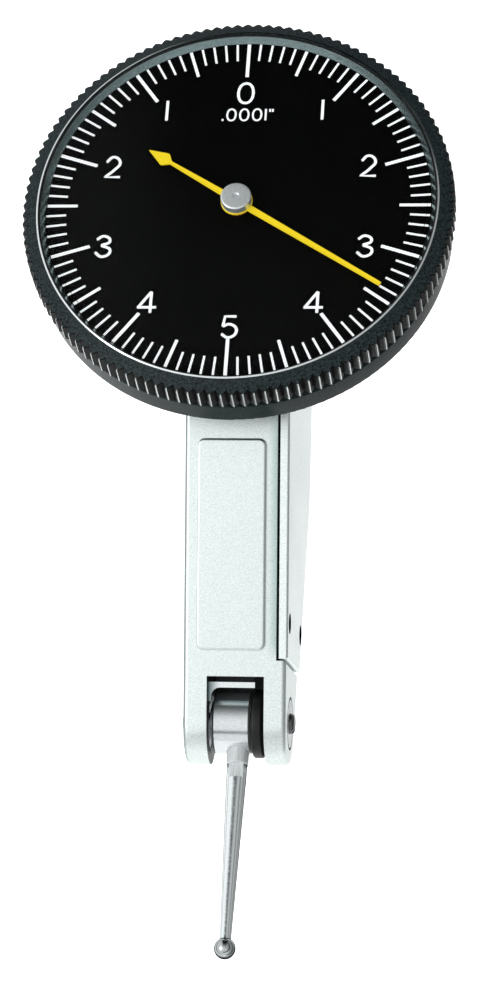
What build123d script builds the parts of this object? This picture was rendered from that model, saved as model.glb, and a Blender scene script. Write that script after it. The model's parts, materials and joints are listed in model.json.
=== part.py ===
from build123d import *

import os
from math import asin, atan2, cos, degrees, hypot, pi, radians, sin, tan

# A lever-type dial test indicator, in millimetres. The origin is the middle of the back rail's outer
# face. +Z points out of the dial, +Y to the dial's twelve o'clock, and the contact points along -Y.

# Back and tail dovetail rails
rail_width = 6.0
rail_height = 1.65
rail_flank = 60.0
back_rail_length = 14.0
tail_rail_length = 9.0
tail_rail_drop = 0.85

# Body housing, seen from its side
body_width = 8.5
fork_radius = 3.4
pivot_to_rail = 13.85
dial_to_rail = 21.6
dial_height = 27.5
front_slope = 26.35
back_flat_end = 8.2
underside_slope = 18.5
tail_reach = 11.0
body_wall = 2.2
left_wall = 1.25
body_edge = 0.38

# Raised pad on the front face, measured up the slope from the pivot
pad_width = 5.6
pad_shift = -0.4
pad_start = 6.05
pad_length = 17.05
pad_height = 0.3
pad_corner = 0.6
pad_edge = 0.22

# Fork slot and the wall between it and the movement
slot_width = 4.64
slot_top = 3.95
movement_start = 6.3
slot_floor = 2.3
lever_room = 0.25
swing_top = 1.3
swing_depth = 5.8

# Side cover
cover_thickness = 0.87
cover_end = 5.3
nose_inset = 0.15
cover_slant = 9.6
cover_edge = 0.22
seam = 0.13
seam_depth = 0.6
cover_screw_head = 0.8
cover_screw_shank = 0.45
cover_screw_grip = 2.0
cover_screw_sink = 0.5
cover_screw_recess = 0.2
cover_screw_inset = 1.25
cover_screw_front = 8.2
cover_screw_top = 29.0
cover_screw_back = 8.85

# Fork pivot: bushes, screws, axle
bush_radius = 2.18
bush_inset = 0.13
bush_edge = 0.18
axle_radius = 0.8
axle_grip = 1.15
pivot_screw_head = 0.85
pivot_screw_rise = 0.4
pivot_screw_shank = 0.5
pivot_screw_edge = 0.34

# Swivel hub, lever eye and what lies beside them, along the pivot axis
hub_radius = 2.6
hub_left = -2.0
hub_width = 3.07
hub_edge = 0.15
eye_radius = 2.85
eye_width = 0.93
eye_edge = 0.25
washer_radius = 1.7
washer_width = 0.2
shield_thickness = 0.45
shield_gap = 0.5
shield_depth = 0.8
shield_run = 0.8
shield_leg = 0.28
shield_bend = 0.7
shield_drop = 1.55
shield_right = 1.5

# Contact
contact_reach = 19.25
ball_radius = 0.86
stem_thread_radius = 0.55
stem_thread_length = 1.3
collar_radius = 0.9
collar_length = 1.3
collar_seat = 2.42
collar_edge = 0.05
flat_length = 1.25
flat_width = 1.15
stem_radius = 0.82
stem_tip_radius = 0.45
stem_spigot_radius = 0.3
stem_spigot_length = 0.4

# Bezel, crystal, dial and case; heights are from the dial face
bezel_radius = 17.46
bezel_corner = 0.16
bezel_bottom = 1.65
bezel_joint = 0.15
bezel_wall = 1.21
knurl_teeth = 125
knurl_depth = 0.36
knurl_flat = 0.25
knurl_draft = 8.5
lip_inset = 1.41
lip_height = 0.79
lip_edge = 0.12
lip_land = 0.15
crystal_seat = 0.13
crystal_shelf = 0.55
flare_width = 0.36
dial_thickness = 0.4
dial_hole = 1.0
spigot_top = 0.95
spigot_wall = 1.2
retaining_ring_width = 1.0
retaining_ring_height = 0.4
spring_ring_height = 0.24
spring_ring_width = 0.46
spring_ring_bite = 0.18
spring_ring_drop = 1.08
ring_gap_angle = 30.0
gasket_height = 0.1
crystal_edge = 0.35
crystal_wall = 0.35
crystal_rise = 2.0
crystal_thickness = 0.7
case_inset = 0.41
case_neck = 0.35
case_shoulder = 2.35
case_depth = 4.7
case_floor = 0.8
case_hole = 2.0
case_edge = 0.22
case_screw_head = 1.1
case_screw_head_height = 0.6
case_screw_shank = 0.5
case_screw_grip = 1.6
case_screw_side = 2.4
case_screw_front = 4.2
case_screw_rear = 8.4

# Pointer, at rest where the free contact leaves it, in degrees clockwise from twelve o'clock
pointer_rest = 123.0
pointer_reach = 14.1
pointer_tail = 8.87
pointer_width = 0.55
pointer_tip_width = 0.32
pointer_neck_width = 0.24
arrow_length = 2.38
arrow_point = 1.65
arrow_width = 1.24
arrow_round = 0.3
pointer_height = 0.6
pointer_thickness = 0.16
pointer_hub = 1.28
pointer_boss = 0.7
pointer_boss_height = 0.4
cap_radius = 1.24
cap_top = 1.5
cap_edge = 0.15
cap_dimple = 0.3

# Centre arbor, its bridge and hairspring; heights are below the dial face
arbor_radius = 0.3
arbor_pivot_radius = 0.18
arbor_top = 1.1
arbor_hole = 1.5
bridge_top = 1.1
bridge_thickness = 0.65
bridge_width = 2.6
bridge_half_span = 5.2
bridge_screw_head = 0.8
bridge_screw_head_height = 0.35
bridge_screw_shank = 0.4
bridge_screw_grip = 0.6
jewel_radius = 0.6
jewel_height = 0.5
hairspring_height = 0.35
hairspring_drop = 2.4
hairspring_thickness = 0.1
hairspring_start = 0.72
hairspring_pitch = 0.6
hairspring_turns = 3
collet_radius = 0.6
collet_height = 0.7
stud_radius = 0.3

# Gear train: one pointer turn for this travel at the ball
travel_per_turn = 0.254
crown_teeth = 90
center_pinion_leaves = 9
fine_module = 0.1
arbor_pinion_teeth = 12
crown_drop = 13.0
crown_disc_thickness = 0.4
crown_ring_width = 0.5
crown_hub_radius = 1.2
crown_hub_length = 0.8
crown_spokes = 5
crown_hole = 0.95
crown_hole_reach = 2.75
crown_arbor_radius = 0.4
crown_pivot_radius = 0.2
crown_pivot_length = 0.4
cock_thickness = 0.58
cock_gap = 0.08
cock_rim = 0.7
cock_reach = 6.0
cock_post_spread = 1.8
cock_post_radius = 0.8
cock_screw_head = 0.6
cock_screw_sink = 0.3
cock_screw_slot = 0.15
cock_screw_shank = 0.3
cock_screw_grip = 1.5
pinion_cock_drop = 9.55
pinion_cock_foot = 0.65
pinion_cock_width = 2.4
pinion_cock_left = -0.42
pinion_cock_post = 1.2
pinion_cock_right = 2.6
pinion_screw_sink = 0.6
pinion_screw_grip = 1.4
lower_jewel_radius = 0.32
lower_jewel_height = 0.45
lever_lap = 26.0
lever_half_height = 1.15
lever_end_half_height = 0.8
lever_lap_width = 0.45
sector_half_height = 1.9
sector_rim = 2.4
lap_length = 5.0

# Clearances
running_fit = 0.02
slip_fit = 0.05
tooth_gap = 0.03
screw_slot = 0.25
screw_slot_depth = 0.2
beyond = 60.0

# Places that follow from the sizes above
half_width = body_width / 2
half_slot = slot_width / 2
axle_end = half_slot + axle_grip
cover_seat = half_width - cover_thickness
movement_left = -half_width + left_wall
cock_left = cover_seat - cock_gap - cock_thickness
pinion_cock_middle = (pinion_cock_post + pinion_cock_right) / 2
slope = radians(front_slope)
back_z = rail_height
pivot_y = -pivot_to_rail
pivot_z = back_z + fork_radius
tail_y = dial_to_rail + tail_reach
case_bottom = dial_height - case_depth
eye_left = hub_left + hub_width + slip_fit * 2
eye_right = eye_left + eye_width

lip_radius = bezel_radius - lip_inset
crystal_shelf_radius = lip_radius - crystal_seat
dial_opening = crystal_shelf_radius - flare_width
bezel_bore = bezel_radius - bezel_wall
spigot_radius = bezel_bore - slip_fit
dial_radius = bezel_bore - slip_fit
case_bore = spigot_radius - spigot_wall
case_radius = bezel_radius - case_inset

pinion_radius = fine_module * center_pinion_leaves / 2
crown_radius = fine_module * crown_teeth / 2
crown_y = dial_to_rail
crown_z = dial_height - crown_drop
crown_face = -pinion_radius - 1.25 * fine_module
crown_back = crown_face - crown_disc_thickness
lever_length = hypot(crown_y - pivot_y, crown_z - pivot_z)
lever_angle = degrees(atan2(crown_z - pivot_z, crown_y - pivot_y))
lever_turn = travel_per_turn / contact_reach
lever_to_crown = 2 * pi * center_pinion_leaves / crown_teeth / lever_turn
arbor_pinion_radius = lever_length / (1 + lever_to_crown)
sector_radius = lever_length - arbor_pinion_radius
lever_module = 2 * arbor_pinion_radius / arbor_pinion_teeth

at_dial = Pos(0, dial_to_rail, dial_height)
at_pivot = Pos(0, pivot_y, pivot_z)
at_crown = Pos(0, crown_y, crown_z)
along_lever = at_pivot * Rot(lever_angle, 0, 0)
front_plane = Plane(origin=(0, pivot_y, pivot_z), x_dir=(1, 0, 0), z_dir=(0, -sin(slope), cos(slope)))
upright = (Align.CENTER, Align.CENTER, Align.MIN)


def disc(radius, low, high):
    """An upright cylinder between two heights."""
    return Pos(0, 0, low) * Cylinder(radius, high - low, align=upright)


def ring(inner, outer, low, high):
    return disc(outer, low, high) - disc(inner, low, high)


def cross_disc(radius, left, right):
    """A cylinder along X between two places on the X axis."""
    return Pos(left, 0, 0) * Rot(0, 90, 0) * Cylinder(radius, right - left, align=upright)


def cross_ring(inner, outer, left, right):
    return cross_disc(outer, left, right) - cross_disc(inner, left, right)


def block(left, right, near, far, low, high):
    """A box between two places on each axis."""
    middle = Pos((left + right) / 2, (near + far) / 2, (low + high) / 2)
    return middle * Box(right - left, far - near, high - low)


def turned(points):
    """A solid of revolution about Z from radius and height pairs."""
    return revolve(Plane.XZ * make_face(Polyline(*points, close=True)), Axis.Z)


def split_ring(inner, outer, low, high):
    """A ring with a gap at six o'clock."""
    gap = outer * sin(radians(ring_gap_angle / 2))
    return ring(inner, outer, low, high) - block(-gap, gap, -beyond, 0, low - 1, high + 1)


def slope_point(up, out):
    """Y and Z of a point up the front slope from the pivot and out from it."""
    return (pivot_y + up * cos(slope) - out * sin(slope), pivot_z + up * sin(slope) + out * cos(slope))


def slope_zone(start, slant=0.0):
    """The part of the side view that lies further up the slope than a line across the body."""
    lean = tan(radians(slant))
    corners = []
    for far, out in ((0, beyond), (0, -beyond), (2 * beyond, -beyond), (2 * beyond, beyond)):
        corners.append(slope_point(start + far + out * lean, fork_radius + out))
    return make_face(Polyline(*corners, close=True))


def side_profile():
    """The body's outline from the side: sloped front, round fork end, flat back, rising underside."""
    front_low = slope_point(0, fork_radius)
    rise = (case_bottom - front_low[1]) / sin(slope)
    front_top = slope_point(rise, fork_radius)
    tail_low = back_z + (tail_y - back_flat_end) * tan(radians(underside_slope))
    nose_turn = radians((90 + front_slope + 270) / 2)
    nose = (pivot_y + fork_radius * cos(nose_turn), pivot_z + fork_radius * sin(nose_turn))
    straight = Polyline(
        front_low,
        front_top,
        (tail_y, case_bottom),
        (tail_y, tail_low),
        (back_flat_end, back_z),
        (pivot_y, back_z),
    )
    round_end = ThreePointArc((pivot_y, back_z), nose, front_low)
    return make_face(straight.edges() + round_end.edges())


def slab(face, left, right):
    """A side-view face made solid between two places on X."""
    return Pos(left, 0, 0) * extrude(Plane.YZ * face, amount=right - left)


def dovetail(length):
    """A rail along local Z that stands out along local Y."""
    foot = rail_width / 2 - rail_height / tan(radians(rail_flank))
    half = rail_width / 2
    top = ((half, rail_height), (-half, rail_height))
    outline = Polyline((-foot, -slip_fit), (foot, -slip_fit), *top, close=True)
    return extrude(make_face(outline), amount=length)


def back_rail():
    start = Plane(origin=(0, -back_rail_length / 2, back_z), x_dir=(1, 0, 0), z_dir=(0, 1, 0))
    return start * dovetail(back_rail_length)


def tail_rail():
    low = case_bottom - tail_rail_drop - tail_rail_length
    return Pos(0, tail_y, low) * dovetail(tail_rail_length)


def front_pad():
    outline = RectangleRounded(pad_width, pad_length, pad_corner)
    pad = extrude(outline, amount=pad_height + slip_fit)
    pad = fillet(pad.faces().sort_by(Axis.Z)[-1].edges(), pad_edge)
    return front_plane * Pos(pad_shift, pad_start + pad_length / 2, fork_radius - slip_fit) * pad


def cover_screw_places():
    """Y and Z of four screws on the housing's rim: two near the fork, one under the dial, one at the tail."""
    front_out = fork_radius - cover_screw_inset
    return (
        slope_point(cover_screw_front, front_out),
        slope_point(cover_screw_top, front_out),
        (pivot_y + cover_screw_back, back_z + cover_screw_inset),
        (tail_y - cover_screw_inset, case_bottom - body_wall - cover_screw_inset),
    )


def case_screw_places():
    """X and Y, from the dial's centre, of the screws that hold the case on the housing."""
    return ((-case_screw_side, -case_screw_front), (case_screw_side, -case_screw_front), (0, case_screw_rear))


def cock_post_places():
    """Y and Z, from the crown arbor, of the two posts that carry the arbor cock."""
    return ((cock_reach, -cock_post_spread), (cock_reach, cock_post_spread))


def slotted_screw(head, head_height, shank, length, slot_depth):
    """A screw along Z with its head's seat at zero and its shank below."""
    screw = disc(head, 0, head_height) + disc(shank, -length, 0)
    low = head_height - slot_depth
    return screw - block(-screw_slot / 2, screw_slot / 2, -beyond, beyond, low, beyond)


def body_housing():
    profile = side_profile()
    main = slab(profile, -half_width, cover_seat)
    main = fillet(main.faces().sort_by(Axis.X)[0].edges(), body_edge)
    nose = slab(profile - slope_zone(cover_end, cover_slant), cover_seat, leg_face(0))
    nose = fillet(nose.faces().sort_by(Axis.X)[-1].edges(), body_edge)
    body = main + nose + back_rail() + tail_rail() + front_pad()
    room = offset(profile, amount=-body_wall, kind=Kind.INTERSECTION) & slope_zone(movement_start)
    body -= slab(room, movement_left, cover_seat)
    for y, z in cock_post_places():
        body += at_crown * Pos(0, y, z) * cross_disc(cock_post_radius, movement_left - slip_fit, cock_left)
    return body - housing_holes()


def housing_holes():
    """The fork slot, the lever's window, the bores and the screw holes of the housing."""
    slot = front_plane * block(-half_slot, half_slot, -beyond, slot_top, -slot_floor, beyond)
    slot += front_plane * block(-half_slot, half_slot, -beyond, swing_top, -swing_depth, beyond)
    slot += at_pivot * cross_disc(eye_radius + lever_room, -half_slot, half_slot)
    half = lever_half_height + lever_room
    near = slot_top - lever_room
    far = movement_start + body_wall
    window = along_lever * block(eye_left - lever_room, half_slot, near, far, -half, half)
    bores = at_pivot * cross_disc(bush_radius, -half_width - 1, half_width + 1)
    top = -case_depth
    holes = at_dial * disc(arbor_hole, top - body_wall - 1, top + 1)
    for x, y in case_screw_places():
        holes += at_dial * Pos(x, y, top) * disc(case_screw_shank + running_fit, -case_screw_grip, 1)
    cock_screw = at_dial * Pos(pinion_cock_middle, 0, top)
    holes += cock_screw * disc(cock_screw_head + running_fit, -pinion_screw_sink, 1)
    holes += cock_screw * disc(cock_screw_shank + running_fit, -body_wall - 1, 1)
    holes += at_crown * cross_disc(jewel_radius, movement_left - jewel_height, movement_left + slip_fit)
    for y, z in cover_screw_places():
        hole = cross_disc(cover_screw_shank + running_fit, cover_seat - cover_screw_grip, cover_seat + 1)
        holes += Pos(0, y, z) * hole
    for y, z in cock_post_places():
        hole = cross_disc(cock_screw_shank + running_fit, cock_left - cock_screw_grip, cock_left + 1)
        holes += at_crown * Pos(0, y, z) * hole
    return [slot, window, bores, holes]


def side_cover():
    face = side_profile() & slope_zone(cover_end + seam, cover_slant)
    cover = slab(face, cover_seat + seam, half_width)
    cover = fillet(cover.faces().sort_by(Axis.X)[-1].edges(), cover_edge)
    rim = offset(face, amount=-seam_depth, kind=Kind.INTERSECTION)
    cover += slab(rim, cover_seat, cover_seat + seam)
    for y, z in cover_screw_places():
        at = Pos(0, y, z)
        cover -= at * cross_disc(cover_screw_head + slip_fit, half_width - cover_screw_sink, half_width + 1)
        cover -= at * cross_disc(cover_screw_shank + slip_fit, cover_seat - 1, half_width + 1)
    return cover


def cover_screws():
    seat = half_width - cover_screw_sink
    length = seat - cover_seat + cover_screw_grip
    height = cover_screw_sink - cover_screw_recess
    screw = slotted_screw(cover_screw_head, height, cover_screw_shank, length, screw_slot_depth)
    return Compound([Pos(seat, y, z) * Rot(0, 90, 0) * screw for y, z in cover_screw_places()])


def leg_face(side):
    """The outer face of a fork leg: the right one, at no turn, lies lower than the side cover."""
    return half_width - nose_inset if side == 0 else half_width


def pivot_bush(side):
    """A bush in one fork leg, with the axle's bore inside and the screw's hole outside."""
    start = half_slot + bush_inset
    bush = cross_disc(bush_radius - running_fit, start, leg_face(side))
    bush = chamfer(bush.edges().filter_by(GeomType.CIRCLE).sort_by(Axis.X)[-1], bush_edge)
    bush -= cross_disc(axle_radius + running_fit, start - 1, axle_end + slip_fit)
    bush -= cross_disc(pivot_screw_shank + running_fit, start, half_width + 1)
    return at_pivot * Rot(0, 0, side) * bush


def pivot_screw(side):
    head = disc(pivot_screw_head, 0, pivot_screw_rise)
    head = fillet(head.edges().sort_by(Axis.Z)[-1], pivot_screw_edge)
    length = leg_face(side) - axle_end - 3 * slip_fit
    screw = head + disc(pivot_screw_shank, -length, 0)
    low = pivot_screw_rise - screw_slot_depth
    screw -= block(-screw_slot / 2, screw_slot / 2, -beyond, beyond, low, beyond)
    return at_pivot * Rot(0, 0, side) * Pos(leg_face(side), 0, 0) * Rot(0, 90, 0) * screw


def left_pivot_bush():
    return pivot_bush(180)


def right_pivot_bush():
    return pivot_bush(0)


def left_pivot_screw():
    return pivot_screw(180)


def right_pivot_screw():
    return pivot_screw(0)


def dust_shield():
    """A bent strip under the slot's top wall, with one leg down the left wall."""
    high = fork_radius - shield_depth
    low = high - shield_run
    left = -half_slot
    top = slot_top - shield_gap
    bar = block(left, shield_right, top - shield_thickness, top, low, high)
    leg = block(left, left + shield_leg, top - shield_drop, top, low, high)
    strip = bar + leg
    corner = (left + shield_leg, top - shield_thickness, high)
    inner = strip.edges().filter_by(Axis.Z).sort_by_distance(corner)[0]
    return front_plane * fillet(inner, shield_bend)


def dial_case():
    floor = -case_depth + case_floor
    groove_low = -spring_ring_drop - spring_ring_height - slip_fit
    groove_high = -spring_ring_drop + slip_fit
    groove = spigot_radius + slip_fit + spring_ring_bite - spring_ring_width - slip_fit
    case = turned(
        [
            (case_hole, -case_depth),
            (case_radius, -case_depth),
            (case_radius, -case_shoulder),
            (case_radius - case_neck, -case_shoulder),
            (case_radius - case_neck, -bezel_bottom - bezel_joint),
            (spigot_radius, -bezel_bottom - bezel_joint),
            (spigot_radius, groove_low),
            (groove, groove_low),
            (groove, groove_high),
            (spigot_radius, groove_high),
            (spigot_radius, -spigot_top),
            (case_bore, -spigot_top),
            (case_bore, floor),
            (case_hole, floor),
        ]
    )
    case = fillet(case.edges().filter_by(GeomType.CIRCLE).sort_by(SortBy.RADIUS)[-2:], case_edge)
    for x, y in case_screw_places():
        case -= Pos(x, y, 0) * disc(case_screw_shank + slip_fit, -case_depth - 1, floor + 1)
    for x in (-bridge_half_span, bridge_half_span):
        case -= Pos(x, 0, 0) * disc(bridge_screw_shank + running_fit, floor - bridge_screw_grip, floor + 1)
    return at_dial * case


def case_screws():
    seat = -case_depth + case_floor
    length = case_floor + case_screw_grip
    screw = slotted_screw(case_screw_head, case_screw_head_height, case_screw_shank, length, screw_slot_depth)
    return at_dial * Compound([Pos(x, y, seat) * screw for x, y in case_screw_places()])


def bezel_spring_ring():
    outer = spigot_radius + slip_fit + spring_ring_bite
    low = -spring_ring_drop - spring_ring_height
    return at_dial * split_ring(outer - spring_ring_width, outer, low, -spring_ring_drop)


def knurl_outline(height):
    """The toothed outline at one height: the grip narrows downwards, so that fingers can't slip off."""
    tip = bezel_radius + (height - bezel_corner) * tan(radians(knurl_draft))
    pitch = 2 * pi / knurl_teeth
    half_tip = knurl_flat / 2 / tip
    points = []
    for tooth in range(knurl_teeth):
        turn = tooth * pitch
        for radius, angle in ((tip, -half_tip), (tip, half_tip), (tip - knurl_depth, pitch / 2)):
            points.append((radius * cos(turn + angle), radius * sin(turn + angle)))
    return Pos(0, 0, height) * make_face(Polyline(*points, close=True))


def bezel_ring():
    groove = bezel_bore + spring_ring_bite + slip_fit
    groove_low = -spring_ring_drop - spring_ring_height - slip_fit
    groove_high = -spring_ring_drop + slip_fit
    land = lip_radius + lip_edge + lip_land
    fall = (lip_height - bezel_corner) / (bezel_radius - land)
    blank_radius = bezel_radius + knurl_depth
    blank = turned(
        [
            (dial_opening, 0),
            (crystal_shelf_radius, crystal_shelf),
            (lip_radius, crystal_shelf),
            (lip_radius, lip_height - lip_edge),
            (lip_radius + lip_edge, lip_height),
            (land, lip_height),
            (blank_radius, bezel_corner - fall * knurl_depth),
            (blank_radius, -bezel_bottom),
            (bezel_bore, -bezel_bottom),
            (bezel_bore, groove_low),
            (groove, groove_low),
            (groove, groove_high),
            (bezel_bore, groove_high),
            (bezel_bore, 0),
        ]
    )
    teeth = loft([knurl_outline(-bezel_bottom), knurl_outline(lip_height)], ruled=True)
    return at_dial * (blank & teeth)


def dome(edge, rim, top):
    """A solid under a spherical cap, from the height of its rim up to its top."""
    rise = top - rim
    radius = (edge**2 + rise**2) / (2 * rise)
    turn = degrees(asin(edge / radius))
    cap = CenterArc((0, top - radius), radius, 90 - turn, turn).edges()
    sides = Polyline((0, top), (0, rim), (edge, rim)).edges()
    return revolve(Plane.XZ * make_face(cap + sides), Axis.Z)


def crystal():
    edge = lip_radius - slip_fit
    low = crystal_shelf + gasket_height
    rim = low + crystal_edge
    top = rim + crystal_rise
    lens = disc(edge, low, rim) + dome(edge, rim, top)
    inner = edge - crystal_thickness
    lens -= disc(inner, low, low + crystal_wall)
    return at_dial * (lens - dome(inner, low + crystal_wall, top - crystal_thickness))


def crystal_gasket():
    low = crystal_shelf
    return at_dial * ring(crystal_shelf_radius, lip_radius - running_fit, low, low + gasket_height)


def dial_plate():
    return at_dial * ring(dial_hole, dial_radius, -dial_thickness, 0)


def dial_retaining_ring():
    low = -dial_thickness - retaining_ring_height
    return at_dial * split_ring(dial_radius - retaining_ring_width, dial_radius, low, -dial_thickness)


def pointer_hand():
    neck = -pointer_tail + arrow_length
    shoulder = -pointer_tail + arrow_point
    half = pointer_width / 2
    tip = pointer_tip_width / 2
    wide = arrow_width / 2
    bar = Polyline((-tip, pointer_reach), (tip, pointer_reach), (half, 0), (-half, 0), close=True)
    thin = pointer_neck_width / 2
    shank = Polyline((-half, 0), (half, 0), (thin, shoulder), (-thin, shoulder), close=True)
    arrow = Polyline((0, -pointer_tail), (wide, shoulder), (0, neck), (-wide, shoulder), close=True)
    head = make_face(arrow)
    head = fillet(head.vertices().sort_by(Axis.X)[:: len(head.vertices()) - 1], arrow_round)
    face = make_face(bar) + make_face(shank) + head + Circle(pointer_hub)
    hand = Pos(0, 0, pointer_height) * extrude(face, amount=pointer_thickness)
    hand += disc(pointer_boss, pointer_height - pointer_boss_height, pointer_height)
    hand -= disc(arbor_radius, 0, beyond)
    return at_dial * Rot(0, 0, -pointer_rest) * hand


def pointer_hub_cap():
    low = pointer_height + pointer_thickness
    cap = disc(cap_radius, low, cap_top)
    cap = fillet(cap.edges().sort_by(Axis.Z)[-1], cap_edge)
    cap -= disc(cap_dimple, cap_top - cap_edge, cap_top + 1)
    cap -= disc(arbor_radius, low - 1, arbor_top + slip_fit)
    return at_dial * cap


def gear_face(teeth, module):
    """A gear's outline with straight-sided teeth, one of them on the X axis."""
    pitch_radius = module * teeth / 2
    half_pitch_width = pi * module / 4 - tooth_gap / 2
    spread = tan(radians(20))
    points = []
    for tooth in range(teeth):
        turn = tooth * 2 * pi / teeth
        for reach, side in ((-1.25, -1), (1.0, -1), (1.0, 1), (-1.25, 1)):
            radius = pitch_radius + reach * module
            angle = turn + side * (half_pitch_width - reach * module * spread) / radius
            points.append((radius * cos(angle), radius * sin(angle)))
    return make_face(Polyline(*points, close=True))


def center_arbor():
    foot = -pinion_cock_drop + slip_fit
    arbor = disc(arbor_radius, foot, arbor_top)
    arbor += disc(arbor_pivot_radius, -pinion_cock_drop - lower_jewel_height + slip_fit, foot)
    middle = crown_radius - crown_drop
    low = middle - crown_ring_width
    pinion = extrude(gear_face(center_pinion_leaves, fine_module), amount=2 * crown_ring_width)
    return at_dial * (arbor + Pos(0, 0, low) * Rot(0, 0, 180) * pinion)


def hairspring_collet():
    middle = -hairspring_drop
    return at_dial * ring(arbor_radius, collet_radius, middle - collet_height / 2, middle + collet_height / 2)


def half_ring(radius, side):
    """Half of a thin flat ring, above or below the X axis."""
    band = Circle(radius + hairspring_thickness / 2) - Circle(radius - hairspring_thickness / 2)
    return band & Pos(0, side * beyond / 2) * Rectangle(2 * beyond, beyond)


def hairspring():
    """A flat spiral of half turns about two centres."""
    strip = Sketch()
    for turn in range(hairspring_turns):
        radius = hairspring_start + turn * hairspring_pitch
        strip += half_ring(radius, 1)
        strip += Pos(hairspring_pitch / 2, 0) * half_ring(radius + hairspring_pitch / 2, -1)
    spring = extrude(strip, amount=hairspring_height)
    return at_dial * Pos(0, 0, -hairspring_drop - hairspring_height / 2) * spring


def hairspring_stud():
    end = hairspring_start + hairspring_turns * hairspring_pitch
    floor = -case_depth + case_floor
    high = -hairspring_drop + hairspring_height / 2
    return at_dial * Pos(end, stud_radius + running_fit, 0) * disc(stud_radius, floor, high)


def upper_bridge():
    top = -bridge_top
    bar = SlotCenterToCenter(2 * bridge_half_span, bridge_width)
    bridge = Pos(0, 0, top - bridge_thickness) * extrude(bar, amount=bridge_thickness)
    bridge -= disc(jewel_radius, top - bridge_thickness - 1, top + 1)
    floor = -case_depth + case_floor
    for x in (-bridge_half_span, bridge_half_span):
        bridge += Pos(x, 0, 0) * disc(bridge_width / 2, floor, top - bridge_thickness)
        bridge -= Pos(x, 0, 0) * disc(bridge_screw_shank + running_fit, floor - 1, top + 1)
    return at_dial * bridge


def bridge_screws():
    length = case_depth - case_floor - bridge_top + bridge_screw_grip
    height = bridge_screw_head_height
    screw = slotted_screw(bridge_screw_head, height, bridge_screw_shank, length, screw_slot_depth)
    sides = (-bridge_half_span, bridge_half_span)
    return at_dial * Compound([Pos(x, 0, -bridge_top) * screw for x in sides])


def upper_jewel():
    low = -bridge_top - bridge_thickness
    return at_dial * ring(arbor_radius + running_fit, jewel_radius - running_fit, low, -bridge_top)


def pinion_cock():
    low = -pinion_cock_drop - pinion_cock_foot
    half = pinion_cock_width / 2
    cock = block(pinion_cock_left, pinion_cock_right, -half, half, low, -pinion_cock_drop)
    cock += block(pinion_cock_post, pinion_cock_right, -half, half, low, -case_depth - body_wall)
    cock -= disc(lower_jewel_radius, -pinion_cock_drop - lower_jewel_height, -pinion_cock_drop + 1)
    screw = disc(cock_screw_shank + running_fit, -body_wall - pinion_screw_grip, 0)
    return at_dial * (cock - Pos(pinion_cock_middle, 0, -case_depth) * screw)


def pinion_cock_screw():
    length = body_wall - pinion_screw_sink + pinion_screw_grip
    height = pinion_screw_sink - slip_fit
    screw = slotted_screw(cock_screw_head, height, cock_screw_shank, length, screw_slot_depth)
    return at_dial * Pos(pinion_cock_middle, 0, -case_depth - pinion_screw_sink) * screw


def lower_jewel():
    high = -pinion_cock_drop
    hole = arbor_pivot_radius + running_fit
    return at_dial * ring(hole, lower_jewel_radius - running_fit, high - lower_jewel_height, high)


def crown_wheel():
    outer = crown_radius + crown_ring_width / 2
    wheel = cross_disc(outer, crown_back, crown_face)
    wheel += cross_disc(crown_hub_radius, crown_back - crown_hub_length, crown_back)
    wheel -= cross_disc(crown_arbor_radius, -beyond, beyond)
    for spoke in range(crown_spokes):
        turn = Rot(360 * spoke / crown_spokes, 0, 0)
        wheel -= turn * Pos(0, 0, crown_hole_reach) * cross_disc(crown_hole, crown_back - 1, crown_face + 1)
    half = pi * fine_module / 4 - tooth_gap
    tip = crown_face + 2.25 * fine_module
    tooth = block(crown_face - slip_fit, tip, -half, half, outer - crown_ring_width, outer)
    pitch = 360 / crown_teeth
    wheel += [Rot((count + 0.5) * pitch, 0, 0) * tooth for count in range(crown_teeth)]
    return at_crown * wheel


def crown_arbor():
    left = movement_left + slip_fit
    right = cock_left - slip_fit
    arbor = cross_disc(crown_arbor_radius, left, right)
    arbor += cross_disc(crown_pivot_radius, left - crown_pivot_length, right + crown_pivot_length)
    face = Plane.YZ * gear_face(arbor_pinion_teeth, lever_module)
    width = eye_width + 2 * slip_fit
    pinion = Pos(eye_left - slip_fit, 0, 0) * extrude(face, amount=width)
    return at_crown * (arbor + Rot(lever_angle, 0, 0) * pinion)


def left_arbor_jewel():
    hole = crown_pivot_radius + running_fit
    jewel = cross_ring(hole, jewel_radius - running_fit, movement_left - jewel_height, movement_left)
    return at_crown * jewel


def right_arbor_jewel():
    hole = crown_pivot_radius + running_fit
    return at_crown * cross_ring(hole, jewel_radius - running_fit, cock_left, cock_left + jewel_height)


def arbor_cock():
    near = -jewel_radius - cock_rim
    far = cock_reach + cock_post_radius
    half = cock_post_spread + cock_post_radius
    start = jewel_radius + cock_rim
    outline = Polyline((near, -start), (far, -half), (far, half), (near, start), close=True)
    cock = slab(make_face(outline), cock_left, cock_left + cock_thickness)
    cock -= cross_disc(jewel_radius, cock_left - 1, cock_left + cock_thickness + 1)
    head_seat = cock_left + cock_thickness - cock_screw_sink
    for y, z in cock_post_places():
        cock -= Pos(0, y, z) * cross_disc(cock_screw_head + running_fit, head_seat, head_seat + 1)
        cock -= Pos(0, y, z) * cross_disc(cock_screw_shank + running_fit, cock_left - 1, head_seat + 1)
    return at_crown * cock


def arbor_cock_screws():
    seat = cock_left + cock_thickness - cock_screw_sink
    length = seat - cock_left + cock_screw_grip
    screw = slotted_screw(cock_screw_head, cock_screw_sink, cock_screw_shank, length, cock_screw_slot)
    return at_crown * Compound([Pos(seat, y, z) * Rot(0, 90, 0) * screw for y, z in cock_post_places()])


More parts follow.
